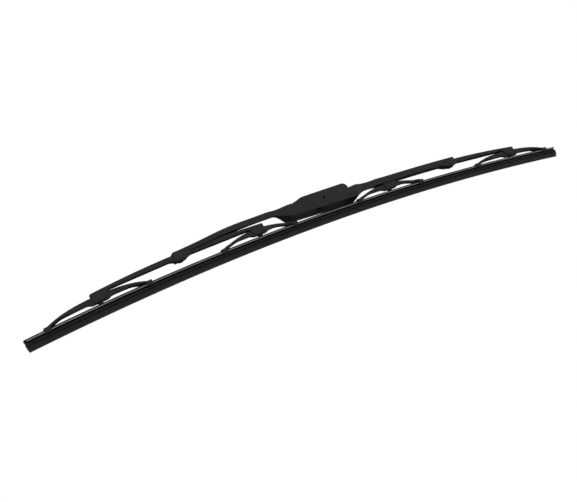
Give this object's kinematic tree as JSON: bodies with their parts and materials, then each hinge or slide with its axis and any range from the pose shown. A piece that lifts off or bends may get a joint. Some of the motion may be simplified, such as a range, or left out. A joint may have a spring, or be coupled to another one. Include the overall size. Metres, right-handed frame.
{
  "type": "wiper blade",
  "caption": "Conventional metal-frame car wiper blade: arched pressed-steel bridges on pivots carry claws that hold a bowed rubber squeegee.",
  "frame": {"origin": "centre of the arm pin, on the blade's middle plane", "axes": "X along the blade, +Y to the rear side, +Z away from the glass"},
  "size_m": [0.6012, 0.0196, 0.0477],
  "materials": {
    "frame_paint": "satin black stoved paint on pressed steel",
    "rubber": "matt black natural rubber",
    "strip_steel": "bright rolled spring steel",
    "pin_steel": "black painted tubular pin",
    "rivet_steel": "black painted rivet",
    "liner_plastic": "matt black moulded plastic"
  },
  "bodies": {
    "primary": {"primary_bridge": "frame_paint", "arm_pin": "pin_steel", "rivet_main_left": "rivet_steel", "rivet_main_right": "rivet_steel", "rubber_squeegee": "rubber", "backing_strip_front": "strip_steel", "backing_strip_rear": "strip_steel"},
    "secondary_left": {"secondary_left": "frame_paint", "liner_main_left": "liner_plastic", "rivet_left_outer": "rivet_steel", "rivet_left_inner": "rivet_steel"},
    "secondary_right": {"secondary_right": "frame_paint", "liner_main_right": "liner_plastic", "rivet_right_outer": "rivet_steel", "rivet_right_inner": "rivet_steel"},
    "yoke_left_outer": {"yoke_left_outer": "frame_paint", "liner_left_outer": "liner_plastic"},
    "yoke_left_inner": {"yoke_left_inner": "frame_paint", "liner_left_inner": "liner_plastic"},
    "yoke_right_outer": {"yoke_right_outer": "frame_paint", "liner_right_outer": "liner_plastic"},
    "yoke_right_inner": {"yoke_right_inner": "frame_paint", "liner_right_inner": "liner_plastic"}
  },
  "joints": [
    {"name": "secondary_left_pivot", "type": "hinge", "parent": "primary", "child": "secondary_left", "pos_m": [-0.15391, 0, -0.00634], "axis": [0, 1, 0], "range_deg": [-0.5, 3.4], "stiffness_Nm_per_rad": 6, "deforming": ["rubber_squeegee", "backing_strip_front", "backing_strip_rear"]},
    {"name": "secondary_right_pivot", "type": "hinge", "parent": "primary", "child": "secondary_right", "pos_m": [0.15995, 0, -0.00669], "axis": [0, -1, 0], "range_deg": [-0.5, 3.4], "stiffness_Nm_per_rad": 6, "deforming": ["rubber_squeegee", "backing_strip_front", "backing_strip_rear"]},
    {"name": "yoke_left_outer_pivot", "type": "hinge", "parent": "secondary_left", "child": "yoke_left_outer", "pos_m": [-0.23387, 0, -0.01738], "axis": [0, 1, 0], "range_deg": [-2, 2], "stiffness_Nm_per_rad": 3, "deforming": ["rubber_squeegee", "backing_strip_front", "backing_strip_rear"]},
    {"name": "yoke_left_inner_pivot", "type": "hinge", "parent": "secondary_left", "child": "yoke_left_inner", "pos_m": [-0.07322, 0, -0.00811], "axis": [0, 1, 0], "range_deg": [-2, 2], "stiffness_Nm_per_rad": 3, "deforming": ["rubber_squeegee", "backing_strip_front", "backing_strip_rear"]},
    {"name": "yoke_right_outer_pivot", "type": "hinge", "parent": "secondary_right", "child": "yoke_right_outer", "pos_m": [0.23988, 0, -0.01792], "axis": [0, -1, 0], "range_deg": [-2, 2], "stiffness_Nm_per_rad": 3, "deforming": ["rubber_squeegee", "backing_strip_front", "backing_strip_rear"]},
    {"name": "yoke_right_inner_pivot", "type": "hinge", "parent": "secondary_right", "child": "yoke_right_inner", "pos_m": [0.07925, 0, -0.00828], "axis": [0, -1, 0], "range_deg": [-2, 2], "stiffness_Nm_per_rad": 3, "deforming": ["rubber_squeegee", "backing_strip_front", "backing_strip_rear"]}
  ]
}
